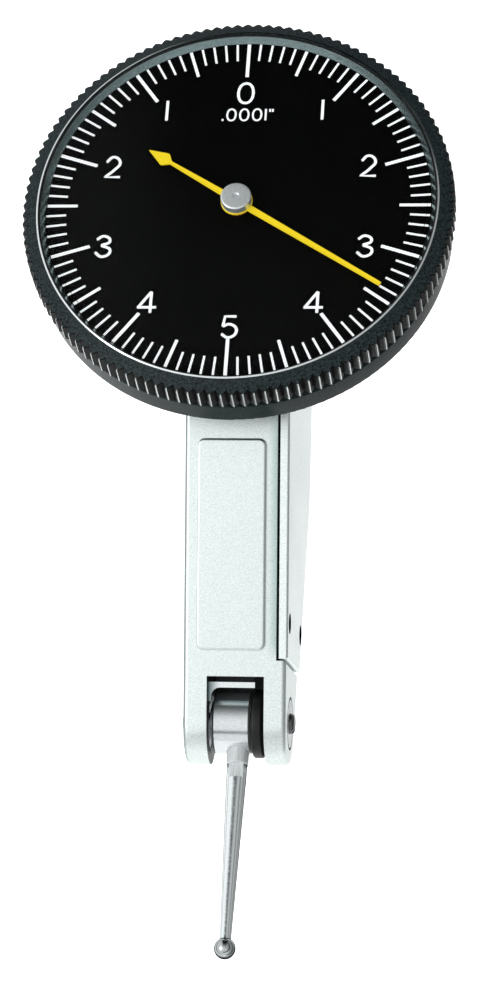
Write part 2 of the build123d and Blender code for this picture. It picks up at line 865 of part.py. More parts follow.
def lever_arm():
    eye = cross_disc(eye_radius, eye_left, eye_right)
    eye = fillet(eye.edges().filter_by(GeomType.CIRCLE), eye_edge)
    end = lever_lap + lap_length
    root = lever_half_height
    tip = lever_end_half_height
    outline = Polyline((0, -root), (end, -tip), (end, tip), (0, root), close=True)
    arm = slab(make_face(outline), eye_left, eye_right)
    arm -= block(-beyond, eye_right - lever_lap_width, lever_lap, 2 * beyond, -beyond, beyond)
    arm += eye
    return along_lever * (arm - cross_disc(axle_radius, -beyond, beyond))


def sector_gear():
    """A fan on the lever's end with teeth on its rim, a gap between teeth on the centre line."""
    root = sector_radius - 1.25 * lever_module
    pitch = pi * lever_module / sector_radius
    side = int(sector_half_height / sector_radius / pitch)
    half_turn = side * pitch
    near = lever_lap + running_fit
    half = lever_end_half_height
    rim_low = (root * cos(half_turn), -root * sin(half_turn))
    rim_high = (root * cos(half_turn), root * sin(half_turn))
    fan_start = sector_radius - sector_rim
    neck = ((fan_start, half), (near, half), (near, -half), (fan_start, -half))
    edges = Polyline(rim_high, *neck, rim_low).edges()
    edges += ThreePointArc(rim_low, (root, 0), rim_high).edges()
    fan = make_face(edges)
    for tooth in range(-side, side):
        fan += Rot(0, 0, degrees((tooth + 0.5) * pitch)) * sector_tooth()
    return along_lever * slab(fan, eye_left, eye_right - lever_lap_width - running_fit)


def sector_tooth():
    half = pi * lever_module / 4 - tooth_gap / 2
    spread = lever_module * tan(radians(20))
    low = sector_radius - 1.25 * lever_module
    high = sector_radius + lever_module
    wide = half + 1.25 * spread
    narrow = half - spread
    foot = low - slip_fit
    one_side = ((foot, -wide), (low, -wide), (high, -narrow))
    other_side = ((high, narrow), (low, wide), (foot, wide))
    return make_face(Polyline(*one_side, *other_side, close=True))


def pivot_axle():
    return at_pivot * cross_disc(axle_radius, -axle_end, axle_end)


def friction_washer():
    right = hub_left - slip_fit
    return at_pivot * cross_ring(axle_radius, washer_radius, right - washer_width, right)


def swivel_hub():
    hub = cross_disc(hub_radius, hub_left, hub_left + hub_width)
    hub = chamfer(hub.edges().filter_by(GeomType.CIRCLE), hub_edge)
    hub -= cross_disc(axle_radius + running_fit, -beyond, beyond)
    hub -= Rot(90, 0, 0) * disc(collar_radius + slip_fit, collar_seat, beyond)
    hub -= Rot(90, 0, 0) * disc(stem_thread_radius + running_fit, collar_seat - stem_thread_length, beyond)
    return at_pivot * hub


def contact_stem():
    """The tapered stem: thread, collar, wrench flats, taper and the spigot that the ball is brazed to."""
    collar_end = collar_seat + collar_length
    flats_end = collar_end + flat_length
    tip = contact_reach - (ball_radius**2 - stem_tip_radius**2) ** 0.5 - running_fit
    stem = turned(
        [
            (0, collar_seat - stem_thread_length + running_fit),
            (stem_thread_radius, collar_seat - stem_thread_length + running_fit),
            (stem_thread_radius, collar_seat),
            (collar_radius, collar_seat),
            (collar_radius, collar_end - collar_edge),
            (collar_radius - collar_edge, collar_end),
            (stem_radius, collar_end),
            (stem_radius, flats_end),
            (stem_tip_radius, tip),
            (stem_spigot_radius, tip),
            (stem_spigot_radius, tip + stem_spigot_length),
            (0, tip + stem_spigot_length),
        ]
    )
    for side in (0, 180):
        flat = block(-beyond, beyond, flat_width / 2, beyond, collar_end, flats_end)
        stem -= Rot(0, 0, side) * flat
    return at_pivot * Rot(90, 0, 0) * stem


def contact_ball():
    tip = contact_reach - (ball_radius**2 - stem_tip_radius**2) ** 0.5
    ball = Pos(0, 0, contact_reach) * Sphere(ball_radius)
    ball -= disc(stem_tip_radius, tip - ball_radius, tip)
    ball -= disc(stem_spigot_radius, tip - ball_radius, tip + stem_spigot_length)
    return at_pivot * Rot(90, 0, 0) * ball


pieces = [
    body_housing,
    side_cover,
    cover_screws,
    left_pivot_bush,
    right_pivot_bush,
    left_pivot_screw,
    right_pivot_screw,
    dust_shield,
    dial_case,
    case_screws,
    bezel_spring_ring,
    upper_bridge,
    bridge_screws,
    upper_jewel,
    hairspring,
    hairspring_stud,
    pinion_cock,
    pinion_cock_screw,
    lower_jewel,
    arbor_cock,
    arbor_cock_screws,
    left_arbor_jewel,
    right_arbor_jewel,
    bezel_ring,
    crystal,
    crystal_gasket,
    dial_plate,
    dial_retaining_ring,
    pointer_hand,
    pointer_hub_cap,
    center_arbor,
    hairspring_collet,
    crown_wheel,
    crown_arbor,
    lever_arm,
    sector_gear,
    pivot_axle,
    friction_washer,
    swivel_hub,
    contact_stem,
    contact_ball,
]

os.makedirs("parts", exist_ok=True)
for piece in pieces:
    export_step(piece(), f"parts/{piece.__name__}.step")
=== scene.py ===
# %% [markdown]
# A dial test indicator is a small measuring instrument: a ball on a lever swings a fraction of a
# millimetre, and a gear train turns that into a wide sweep of a yellow hand over a black dial. The solids
# come from a CAD model, and this file dresses them: smooth surfaces, a printed dial, a knurled ring,
# a clear crystal, metals, light and a camera.

# %% Load the CAD model and keep its box
import bmesh
import bpy
import json
from math import atan2, cos, hypot, pi, radians, sin
from mathutils import Matrix, Quaternion, Vector
from mathutils.bvhtree import BVHTree


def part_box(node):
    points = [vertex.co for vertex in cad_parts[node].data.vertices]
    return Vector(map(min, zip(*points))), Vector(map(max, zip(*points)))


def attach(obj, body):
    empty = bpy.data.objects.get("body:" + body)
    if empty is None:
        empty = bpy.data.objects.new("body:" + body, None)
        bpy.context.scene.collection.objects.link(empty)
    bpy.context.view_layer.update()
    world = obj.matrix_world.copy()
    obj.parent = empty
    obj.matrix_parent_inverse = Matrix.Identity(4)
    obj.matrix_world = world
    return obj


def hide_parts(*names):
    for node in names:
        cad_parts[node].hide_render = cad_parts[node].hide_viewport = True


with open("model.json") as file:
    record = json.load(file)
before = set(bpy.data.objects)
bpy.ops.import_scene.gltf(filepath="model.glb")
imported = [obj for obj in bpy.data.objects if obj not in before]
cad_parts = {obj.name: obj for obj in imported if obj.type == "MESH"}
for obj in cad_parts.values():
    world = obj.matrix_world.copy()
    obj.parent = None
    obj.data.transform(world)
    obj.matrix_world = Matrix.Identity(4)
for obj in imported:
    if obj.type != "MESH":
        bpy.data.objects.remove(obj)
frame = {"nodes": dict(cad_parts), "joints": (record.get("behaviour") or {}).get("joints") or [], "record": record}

mm = 0.001
scene = bpy.context.scene
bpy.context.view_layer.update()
joint_place = {joint["name"]: Vector(joint["pos_m"]) for joint in frame["joints"]}
dial_centre = joint_place["bezel_turn"]
pivot = joint_place["contact_swivel"]

# %% [markdown]
# The camera stands where the photographer's did. Its direction, roll and distance were found by matching
# the dial's ellipse and the body's edges. A long lens keeps the body from narrowing towards the contact.

# %% Camera
view_azimuth = 15.47
view_elevation = 62.50
view_roll = -13.35
view_distance = 252.04 * mm
view_target = dial_centre + Vector((2.37, -26.40, 0)) * mm
lens_length = 118.6

turn = radians(view_azimuth)
lift = radians(view_elevation)
towards_camera = Vector((sin(turn) * cos(lift), -cos(turn) * cos(lift), sin(lift)))
camera = bpy.data.objects.new("camera", bpy.data.cameras.new("camera"))
scene.collection.objects.link(camera)
camera.data.lens = lens_length
camera.data.clip_start = 10 * mm
camera.data.clip_end = 10
camera.location = view_target + towards_camera * view_distance
camera.rotation_mode = "QUATERNION"
roll = Quaternion((0, 0, 1), radians(view_roll))
camera.rotation_quaternion = (-towards_camera).to_track_quat("-Z", "Y") @ roll
scene.camera = camera
print("camera at", [round(v / mm, 1) for v in camera.location])

# %% [markdown]
# The photograph is a bright product shot on white. A clean white needs the Standard view transform,
# because the default one greys the whites. The instrument is held by its dovetail in use, and its contact
# swings below the rail, so the pale floor lies below the lowest point of that swing. Its paper gets its
# colour in a later step.

# %% Floor
scene.view_settings.view_transform = "Standard"
swing_room = 17 * mm
floor_size = 3.0


def new_material(name):
    """A node material with its Principled shader, ready to be wired."""
    material = bpy.data.materials.new(name)
    material.use_nodes = True
    return material, material.node_tree.nodes["Principled BSDF"]


def set_inputs(node, **values):
    """Sets sockets by name; an underscore in a name stands for a space."""
    for name, value in values.items():
        node.inputs[name.replace("_", " ")].default_value = value


floor_mesh = bmesh.new()
bmesh.ops.create_grid(floor_mesh, x_segments=1, y_segments=1, size=floor_size / 2)
bmesh.ops.translate(floor_mesh, verts=floor_mesh.verts, vec=(0, 0, -swing_room))
floor = bpy.data.objects.new("floor", bpy.data.meshes.new("floor"))
floor_mesh.to_mesh(floor.data)
floor_mesh.free()
scene.collection.objects.link(floor)
floor_paint, floor_shader = new_material("floor_paper")
set_inputs(floor_shader, Roughness=0.9, Specular_IOR_Level=0.1)
floor.data.materials.append(floor_paint)
print("floor at", round(-swing_room / mm, 1), "mm")

# %% [markdown]
# The next steps wire shader nodes. Four small helpers keep that short: a link, a smooth step between two
# limits, one sum on two values, and a distance along a fixed direction.

# %% Node helpers


def wire(tree, output, socket):
    """Links an output to a socket."""
    tree.links.new(output, socket)


def ramp_between(tree, value, low, high, at_low, at_high):
    """A smooth step of a value between two limits."""
    step = tree.nodes.new("ShaderNodeMapRange")
    step.interpolation_type = "SMOOTHSTEP"
    set_inputs(step, From_Min=low, From_Max=high, To_Min=at_low, To_Max=at_high)
    wire(tree, value, step.inputs["Value"])
    return step.outputs["Result"]


def calculate(tree, operation, first, second):
    """One maths node on two outputs."""
    node = tree.nodes.new("ShaderNodeMath")
    node.operation = operation
    wire(tree, first, node.inputs[0])
    wire(tree, second, node.inputs[1])
    return node.outputs["Value"]


def along(tree, vector, direction):
    """How far a vector reaches along a fixed direction."""
    node = tree.nodes.new("ShaderNodeVectorMath")
    node.operation = "DOT_PRODUCT"
    node.inputs[1].default_value = direction
    wire(tree, vector, node.inputs[0])
    return node.outputs["Value"]


print("node helpers ready")

# %% [markdown]
# Bright metal shows what stands round it, so the world is a photographer's tent of white cloth. Its walls
# are greyer towards the right and the back. A dark gap runs round its front and right side at half height,
# and the back is open: it darkens from the roof down to the table. The gap draws the fine dark line on the
# hub, and the open back keeps the dial black and shades the hub's upper half.

# %% Light tent
sky = bpy.data.worlds.new("light_tent")
scene.world = sky
sky.use_nodes = True
tent_tint = (0.97, 0.99, 1, 1)
wall_direction = (-0.8, -0.6, 0)
wall_span, wall_levels = (-0.75, 0.4), (0.4, 1.0)
gap_height, gap_half, gap_soft = 0.53, 0.14, 0.01
gap_start, gap_depth = (-0.32, -0.15), 0.93
skirt_level = 0.95
back_near, back_far, back_level = -0.5, 1.0, 0.01
back_middle, back_inner, back_outer = 0.03, 0.22, 0.5


def build_tent(tree):
    """White walls with a dark gap at half height, and an open back."""
    direction = tree.nodes.new("ShaderNodeTexCoord").outputs["Generated"]
    height = along(tree, direction, (0, 0, 1))
    walls = ramp_between(tree, along(tree, direction, wall_direction), *wall_span, *wall_levels)
    below = ramp_between(tree, height, gap_height - gap_half, gap_height - gap_soft, 0, 1)
    above = ramp_between(tree, height, gap_height + gap_soft, gap_height + gap_half, 1, 0)
    across = along(tree, direction, (1, 0, 0))
    side = ramp_between(tree, across, *gap_start, 0, gap_depth)
    gap = calculate(tree, "MULTIPLY", calculate(tree, "MULTIPLY", below, above), side)
    lit = ramp_between(tree, gap, 0, 1, 1, 0)
    skirt = ramp_between(tree, height, gap_height - gap_half, gap_height + gap_half, skirt_level, 1)
    from_left = ramp_between(tree, across, back_middle - back_outer, back_middle - back_inner, 0, 1)
    from_right = ramp_between(tree, across, back_middle + back_inner, back_middle + back_outer, 1, 0)
    depth = ramp_between(tree, along(tree, direction, (0, 1, 0)), back_near, back_far, 0, 1 - back_level)
    open_back = calculate(tree, "MULTIPLY", calculate(tree, "MULTIPLY", from_left, from_right), depth)
    closed = ramp_between(tree, open_back, 0, 1, 1, 0)
    cloth = calculate(tree, "MULTIPLY", calculate(tree, "MULTIPLY", walls, skirt), lit)
    strength = calculate(tree, "MULTIPLY", cloth, closed)
    background = tree.nodes["Background"]
    set_inputs(background, Color=tent_tint)
    wire(tree, strength, background.inputs["Strength"])


build_tent(sky.node_tree)
print("tent gap at", gap_height, "of full height")

# %% [markdown]
# The paper sweep is pure white to the camera. In the metal's reflections it is bright only near the
# instrument, because the table ends there: a Light Path node tells the two apart.

# %% Paper sweep
sweep_right = (24 * mm, 55 * mm)
sweep_left = (-160 * mm, -90 * mm)
far_right, far_left = 0.25, 0.2
sweep_level, white_level = 0.5, 0.9


def light_sweep(material, shader):
    """Wires the floor's glow: even for the camera, fading to both sides for every other ray."""
    tree = material.node_tree
    across = along(tree, tree.nodes.new("ShaderNodeTexCoord").outputs["Object"], (1, 0, 0))
    right = ramp_between(tree, across, *sweep_right, 1, far_right)
    left = ramp_between(tree, across, *sweep_left, far_left, 1)
    near = calculate(tree, "MULTIPLY", left, right)
    rays = tree.nodes.new("ShaderNodeLightPath").outputs["Is Camera Ray"]
    paper = ramp_between(tree, calculate(tree, "MAXIMUM", near, rays), 0, 1, 0, white_level)
    mirrored = ramp_between(tree, near, 0, 1, 0, sweep_level)
    seen = ramp_between(tree, rays, 0, 1, 0, white_level)
    wire(tree, paper, shader.inputs["Base Color"])
    wire(tree, calculate(tree, "MAXIMUM", mirrored, seen), shader.inputs["Emission Color"])
    set_inputs(shader, Emission_Strength=1.0)


light_sweep(floor_paint, floor_shader)
print("sweep glow", sweep_level)

# %% [markdown]
# One soft box at the left gives the form a light side, so that the tent's even light doesn't flatten it.
# An area light is the plain way to make one: its size sets how soft its edges are.

# %% Soft box
box_place = (-0.42, -0.2, 0.5)
box_side = 0.35
box_power = 1.2


def soft_box(name, place, width, height, power):
    """A rectangular area light that faces the middle of the instrument."""
    lamp = bpy.data.lights.new(name, "AREA")
    lamp.shape = "RECTANGLE"
    lamp.size = width
    lamp.size_y = height
    lamp.energy = power
    box = bpy.data.objects.new(name, lamp)
    scene.collection.objects.link(box)
    box.location = view_target + Vector(place)
    box.rotation_mode = "QUATERNION"
    box.rotation_quaternion = (-Vector(place)).to_track_quat("-Z", "Y")
    return box


soft_box("left_box", box_place, box_side, box_side, box_power)

# %% [markdown]
# Every finish here has some grain: plating is bead blasted, black lacquer wrinkles, brass is drawn.
# One shader group makes that grain from the object's own coordinates, so it never slides, and each
# material asks for its own grain size. Its second output is a slow cloud for handling marks.

# %% Grain group
grain = bpy.data.node_groups.new("grain_and_cloud", "ShaderNodeTree")
grain.interface.new_socket("Grain per metre", in_out="INPUT", socket_type="NodeSocketFloat")
grain.interface.new_socket("Stretch", in_out="INPUT", socket_type="NodeSocketVector")
grain.interface.new_socket("Grain", in_out="OUTPUT", socket_type="NodeSocketFloat")
grain.interface.new_socket("Cloud", in_out="OUTPUT", socket_type="NodeSocketFloat")


def build_grain(tree):
    """Fine noise for grain, and coarse noise for a cloud, both on Object coordinates."""
    asks = tree.nodes.new("NodeGroupInput")
    gives = tree.nodes.new("NodeGroupOutput")
    place = tree.nodes.new("ShaderNodeTexCoord")
    stretch = tree.nodes.new("ShaderNodeVectorMath")
    stretch.operation = "MULTIPLY"
    fine = tree.nodes.new("ShaderNodeTexNoise")
    set_inputs(fine, Detail=3.0, Roughness=0.6)
    slow = tree.nodes.new("ShaderNodeTexNoise")
    set_inputs(slow, Scale=160.0, Detail=4.0, Roughness=0.55)
    wire(tree, place.outputs["Object"], stretch.inputs[0])
    wire(tree, asks.outputs["Stretch"], stretch.inputs[1])
    wire(tree, stretch.outputs["Vector"], fine.inputs["Vector"])
    wire(tree, asks.outputs["Grain per metre"], fine.inputs["Scale"])
    wire(tree, place.outputs["Object"], slow.inputs["Vector"])
    wire(tree, fine.outputs["Fac"], gives.inputs["Grain"])
    wire(tree, slow.outputs["Fac"], gives.inputs["Cloud"])


build_grain(grain)
grain_outputs = [socket.name for socket in grain.interface.items_tree if socket.in_out == "OUTPUT"]
print("group", grain.name, "outputs", grain_outputs)

# %% [markdown]
# A finish is then one Principled shader: the grain feeds its bump and a little of its colour, and the
# cloud feeds its roughness. Metals and paints differ only in their numbers.

# %% Finish helper
noise_low, noise_high = 0.3, 0.7
grey_red, grey_blue = 0.96, 1.005


def spread(tree, value, low, high):
    """Maps a noise value to a range that a socket can use."""
    ramp = tree.nodes.new("ShaderNodeMapRange")
    set_inputs(ramp, From_Min=noise_low, From_Max=noise_high, To_Min=low, To_Max=high)
    wire(tree, value, ramp.inputs["Value"])
    return ramp.outputs["Result"]


def tinted(tree, value, dark, light):
    """A colour between two tones, chosen by a noise value."""
    mix = tree.nodes.new("ShaderNodeMix")
    mix.data_type = "RGBA"
    mix.inputs["A"].default_value = (*dark, 1)
    mix.inputs["B"].default_value = (*light, 1)
    wire(tree, value, mix.inputs["Factor"])
    return mix.outputs["Result"]


def finish(name, dark, light, roughness, grain_size, depth, metallic=0.0, stretch=(1, 1, 1), **sockets):
    """A grained finish: two tones, a range of roughness, a grain size and its depth in metres."""
    material, shader = new_material(name)
    tree = material.node_tree
    field = tree.nodes.new("ShaderNodeGroup")
    field.name = "grain"
    field.node_tree = grain
    set_inputs(field, Grain_per_metre=1 / grain_size, Stretch=stretch)
    tone = tinted(tree, spread(tree, field.outputs["Grain"], 0, 1), dark, light)
    wire(tree, tone, shader.inputs["Base Color"])
    wire(tree, spread(tree, field.outputs["Cloud"], *roughness), shader.inputs["Roughness"])
    bump = tree.nodes.new("ShaderNodeBump")
    set_inputs(bump, Strength=1.0, Distance=depth)
    wire(tree, field.outputs["Grain"], bump.inputs["Height"])
    wire(tree, bump.outputs["Normal"], shader.inputs["Normal"])
    set_inputs(shader, Metallic=metallic, **sockets)
    return material


def grey(tone):
    """A neutral tone with a touch less red, as steel has in daylight."""
    return (tone * grey_red, tone, tone * grey_blue)


print("finish helper ready")

# %% [markdown]
# The CAD solids arrive as loose triangles. A copy with its doubles merged can be shaded smooth, with
# sharp edges kept by angle, and a weighted normal keeps the flats flat beside their rounded edges.
# The copy stands for its node and rides on the same body.

# %% Smooth copies of CAD nodes
node_slot = {row["node"]: row["material_slot"] for row in frame["record"]["subparts"]}
bodies = frame["record"]["behaviour"]["bodies"]
node_body = {node: body for body, nodes in bodies.items() for node in nodes}
merge_distance = 0.0005 * mm


def place_piece(name, mesh_tool, body, sharp_angle=20):
    """Turns a bmesh into a shaded object at the origin that rides on a body."""
    mesh = bpy.data.meshes.new(name)
    for face in mesh_tool.faces:
        face.smooth = True
    mesh_tool.to_mesh(mesh)
    mesh_tool.free()
    if "custom_normal" in mesh.attributes:
        mesh.attributes.remove(mesh.attributes["custom_normal"])
    mesh.set_sharp_from_angle(angle=radians(sharp_angle))
    piece = bpy.data.objects.new(name, mesh)
    scene.collection.objects.link(piece)
    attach(piece, body)
    return piece


def smooth_copy(node, *materials, zone=None):
    """A merged and smoothly shaded copy of a CAD node; zone gives each face its material's number."""
    copy = bmesh.new()
    copy.from_mesh(frame["nodes"][node].data)
    bmesh.ops.remove_doubles(copy, verts=copy.verts, dist=merge_distance)
    copy.normal_update()
    for face in copy.faces:
        face.material_index = zone(face) if zone else 0
    piece = place_piece(node + "_smooth", copy, node_body[node])
    for material in materials:
        piece.data.materials.append(material)
    normals = piece.modifiers.new("flat_stays_flat", "WEIGHTED_NORMAL")
    normals.keep_sharp = True
    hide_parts(node)
    return piece


print("slots:", sorted(set(node_slot.values())))

# %% [markdown]
# The body and its side plate are satin chromium: bead blasted before plating, so it is nearly white and
# shows no mirror images. A middling roughness with a very fine bump gives that powdery shine. The plate is
# a shade lighter than the body.

# %% Satin plating
blast_roughness = (0.34, 0.42)
blast_grain, blast_depth = 0.12 * mm, 0.008 * mm
plate_dark, plate_light = (0.63, 0.69, 0.672), (0.85, 0.905, 0.886)
side_dark, side_light = (0.7, 0.765, 0.75), (0.94, 0.985, 0.975)
satin_plate = finish(
    "satin_plate", plate_dark, plate_light, blast_roughness, blast_grain, blast_depth, metallic=1.0
)
satin_side = finish(
    "satin_side", side_dark, side_light, blast_roughness, blast_grain, blast_depth, metallic=1.0
)
print("plating grain in mm:", round(blast_grain / mm, 2))

# %% [markdown]
# Some places on a piece get a painted shade, darker than its finish: a strip beside the pad, a seam, the top of
# the hub. A shade is a mask that multiplies the base colour, placed between the finish's own colour and its
# shader, so that the grain still shows through.

# %% Shade helper


def multiply_base(material, mask, tone):
    """Multiplies a finish's base colour by a tone where its mask is one."""
    tree = material.node_tree
    base = tree.nodes["Principled BSDF"].inputs["Base Color"]
    shade = tree.nodes.new("ShaderNodeMix")
    shade.data_type = "RGBA"
    shade.blend_type = "MULTIPLY"
    shade.inputs["B"].default_value = (*tone, 1)
    wire(tree, mask, shade.inputs["Factor"])
    wire(tree, base.links[0].from_socket, shade.inputs["A"])
    wire(tree, shade.outputs["Result"], base)


print("shade helper ready")

# %% [markdown]
# The strip between the front pad and the plate's seam gets a painted shade, and the seam and the rounded left edge
# get thin painted dark lines. Each is a shade whose mask reads the object's own coordinates, so the strip needs no
# cut in the mesh and fades out where the real one does.

# %% Painted shade on the strip, seam and left edge
tiny = 0.005 * mm
front_slope = radians(26.35)
up_front = Vector((0, cos(front_slope), sin(front_slope)))
out_front = Vector((0, -sin(front_slope), cos(front_slope)))
front_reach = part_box("left_pivot_bush")[1].z - pivot.z + 1.2 * mm
front_soft = 0.1 * mm
pad_right, strip_edge = 2.4 * mm, 0.9 * mm
strip_fade, strip_end = (5.0 * mm, 7.0 * mm), (22.5 * mm, 26.0 * mm)
strip_shade_tone = (0.6, 0.69, 0.68)
joint_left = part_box("side_cover")[0].x
seam_edge, seam_end = 0.12 * mm, 5.25 * mm
seam_shade_tone = (0.03, 0.03, 0.03)
body_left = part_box("left_pivot_bush")[0].x
rim_width = 0.32 * mm
left_edge_shade_tone = (0.5, 0.53, 0.53)


def shade_strip_seam_and_edge(material):
    """Paints shade on the strip beside the pad, along the edge at the plate's seam and on the rounded left edge.
    """
    tree = material.node_tree
    place = tree.nodes.new("ShaderNodeTexCoord").outputs["Object"]
    across = along(tree, place, (1, 0, 0))
    upwards = along(tree, place, up_front)
    low = pivot.dot(up_front)
    level = pivot.dot(out_front) + front_reach
    front = ramp_between(tree, along(tree, place, out_front), level - front_soft, level, 0, 1)
    right = ramp_between(tree, across, pad_right, pad_right + strip_edge, 0, 1)
    start = ramp_between(tree, upwards, low + strip_fade[0], low + strip_fade[1], 0, 1)
    end = ramp_between(tree, upwards, low + strip_end[0], low + strip_end[1], 1, 0)
    length = calculate(tree, "MULTIPLY", start, end)
    strip = calculate(tree, "MULTIPLY", calculate(tree, "MULTIPLY", right, length), front)
    multiply_base(material, strip, strip_shade_tone)
    beside = ramp_between(tree, across, joint_left - seam_edge, joint_left - seam_edge / 2, 0, 1)
    above = ramp_between(tree, upwards, low + seam_end, low + seam_end + tiny, 0, 1)
    seam_shade_line = calculate(tree, "MULTIPLY", calculate(tree, "MULTIPLY", beside, above), front)
    multiply_base(material, seam_shade_line, seam_shade_tone)
    rise = ramp_between(tree, across, body_left + tiny, body_left + rim_width / 10, 0, 1)
    ebb = ramp_between(tree, across, body_left + rim_width / 3, body_left + rim_width, 1, 0)
    multiply_base(material, calculate(tree, "MULTIPLY", rise, ebb), left_edge_shade_tone)


shade_strip_seam_and_edge(satin_plate)
print("front plane reaches", round(front_reach / mm, 2), "mm from the pivot")

# %% [markdown]
# The fork's slot gets a darker finish as painted shade on its walls, and the joint under the side plate is black,
# where no light gets in. Each face of the copy is sorted by its place, and the dark ones take a second material.

# %% Body and side plate
slot_painted_shade = finish("slot_painted_shade", grey(0.05), grey(0.1), (0.4, 0.55), 0.12 * mm, 0.004 * mm, metallic=0.6)
# Black for the joints, and painted shade in the screw sinks and on the bushes' chamfers.
joint_and_shade_black = finish(
    "joint_and_shade_black", grey(0.003), grey(0.006), (0.7, 0.8), 0.1 * mm, 0.001 * mm, Specular_IOR_Level=0.0
)
side_lean = 0.9
slot_half = -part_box("dust_shield")[0].x
slot_top = 3.95 * mm
slot_floor = 2.3 * mm
joint_width = 0.13 * mm
screw_sink = 0.08 * mm
graph = bpy.context.evaluated_depsgraph_get()
cover_screw_walls = BVHTree.FromObject(frame["nodes"]["cover_screws"], graph)


def housing_zone(face):
    """Zero for plating, one for the painted shade in the fork's slot, two on the seat of the side plate."""
    middle = face.calc_center_median()
    inside = (middle - pivot).dot(out_front) > -slot_floor - tiny or abs(face.normal.x) > side_lean
    if inside and abs(middle.x) < slot_half + tiny and (middle - pivot).dot(up_front) < slot_top + tiny:
        return 1
    return 2 if abs(middle.x - joint_left) < tiny and face.normal.x > side_lean else 0


def cover_zone(face):
    """Zero for plating, one in the joint behind the plate and, as painted shade, in the sinks of its screws."""
    middle = face.calc_center_median()
    near_screw = cover_screw_walls.find_nearest(middle)[3] < screw_sink
    return 1 if middle.x < joint_left + joint_width + tiny or near_screw else 0


smooth_copy("body_housing", satin_plate, slot_painted_shade, joint_and_shade_black, zone=housing_zone)
smooth_copy("side_cover", satin_side, joint_and_shade_black, zone=cover_zone)

# %% [markdown]
# Steel parts differ by how they were finished. The screws are turned, and the left pivot screw is a black copy
# with almost no reflection, a painted shade; the lever is blackened and the contact's ball is carbide. The same
# helper makes them all: a low roughness for a polish, a higher one for a turned face, and a stretched grain where
# a wheel left lines.

# %% Steel finishes
bright_steel = finish(
    "bright_steel", grey(0.62), grey(0.74), (0.24, 0.34), 0.12 * mm, 0.003 * mm, metallic=1.0
)
ground_steel = finish(
    "ground_steel", grey(0.74), grey(0.88), (0.1, 0.15), 0.1 * mm, 0.002 * mm,
    metallic=1.0, stretch=(0.15, 1, 1),
)
polished_steel = finish(
    "polished_steel", grey(0.85), grey(0.92), (0.08, 0.13), 0.2 * mm, 0.0008 * mm, metallic=1.0
)
carbide = finish("carbide", grey(0.5), grey(0.6), (0.05, 0.08), 0.2 * mm, 0.0005 * mm, metallic=1.0)
turned_dark = finish("turned_dark", grey(0.07), grey(0.2), (0.18, 0.28), 0.1 * mm, 0.002 * mm, metallic=1.0)
# Painted shade: the left pivot screw is black with almost no reflection, while the right one is turned steel.
left_screw_shade_black = finish(
    "left_screw_shade_black", grey(0.006), grey(0.014), (0.3, 0.4), 0.1 * mm, 0.002 * mm, Specular_IOR_Level=0.03
)
black_steel = finish(
    "black_steel", grey(0.004), grey(0.014), (0.3, 0.42), 0.12 * mm, 0.003 * mm, Specular_IOR_Level=0.3
)
print("finishes so far:", len(bpy.data.materials))

# %% [markdown]
# A bush is pressed into each leg of the fork, and its chamfer is painted black, a painted shade line round it. The
# chamfer's faces lean, so their normals tell them apart from the flat end and the round wall.

# %% Pivot bushes
bush_steel = finish("bush_steel", grey(0.14), grey(0.72), (0.24, 0.34), 0.16 * mm, 0.004 * mm, metallic=1.0)
chamfer_lean = (0.4, 0.95)


def bush_zone(face):
    """One on the bush's outer chamfer, which is painted black as shade, zero on the rest."""
    return 1 if chamfer_lean[0] < abs(face.normal.x) < chamfer_lean[1] else 0


for side in ("left", "right"):
    smooth_copy(side + "_pivot_bush", bush_steel, joint_and_shade_black, zone=bush_zone)
print("bushes reach from", round(body_left / mm, 2), "mm")

# %% [markdown]
# Mirror steel in a white tent all but vanishes against a white table, so a polished round gets a painted dark
# reflection along each side, and the stem also a speckled painted reflection, a dark streak along its top. Every
# vertex carries a mark, from 0 on top of the round to 1 at its side, and the finish reads that mark: unlike a
# shade that follows the camera, the lines stay on the piece.

# %% Marks on a round
side_mark = "turned_to_side"
edge_start, edge_full = 0.45, 0.75
side_reflection_tone = grey(0.16)
streak_share = 0.045
streak_reflection_tone = (0.13, 0.16, 0.17)
speckle_low = 0.2


def mark_sides(piece, centre, spread_from=(1, 1, 1)):
    """Marks how far each vertex of a round turns from its top to its side, from 0 to 1."""
    marks = piece.data.attributes.new(side_mark, "FLOAT", "POINT").data
    for vertex, mark in zip(piece.data.vertices, marks):
        outwards = ((vertex.co - centre) * Vector(spread_from)).normalized()
        mark.value = 1 - abs(outwards.z)


def read_mark(tree):
    """The mark that the vertices of a round carry."""
    mark = tree.nodes.new("ShaderNodeAttribute")
    mark.attribute_name = side_mark
    return mark.outputs["Fac"]


def paint_side_reflections(material):
    """Paints a dark reflection along the sides of a polished round."""
    tree = material.node_tree
    multiply_base(material, ramp_between(tree, read_mark(tree), edge_start, edge_full, 0, 1), side_reflection_tone)
    set_inputs(tree.nodes["Principled BSDF"], Specular_Tint=(*side_reflection_tone, 1))


def paint_streak_reflection(material):
    """Paints a speckled dark reflection streak along the top of a round."""
    tree = material.node_tree
    streak = ramp_between(tree, read_mark(tree), 0, streak_share, 1, 0)
    speckle = spread(tree, tree.nodes["grain"].outputs["Grain"], speckle_low, 1)
    multiply_base(material, calculate(tree, "MULTIPLY", streak, speckle), streak_reflection_tone)


print("marks are named", side_mark)

# %% [markdown]
# The contact's stem is a polished taper with a milled collar and two wrench flats. A face belongs to a flat
# if it looks straight up or down at the flat's height, and to the collar if it lies outside the taper.

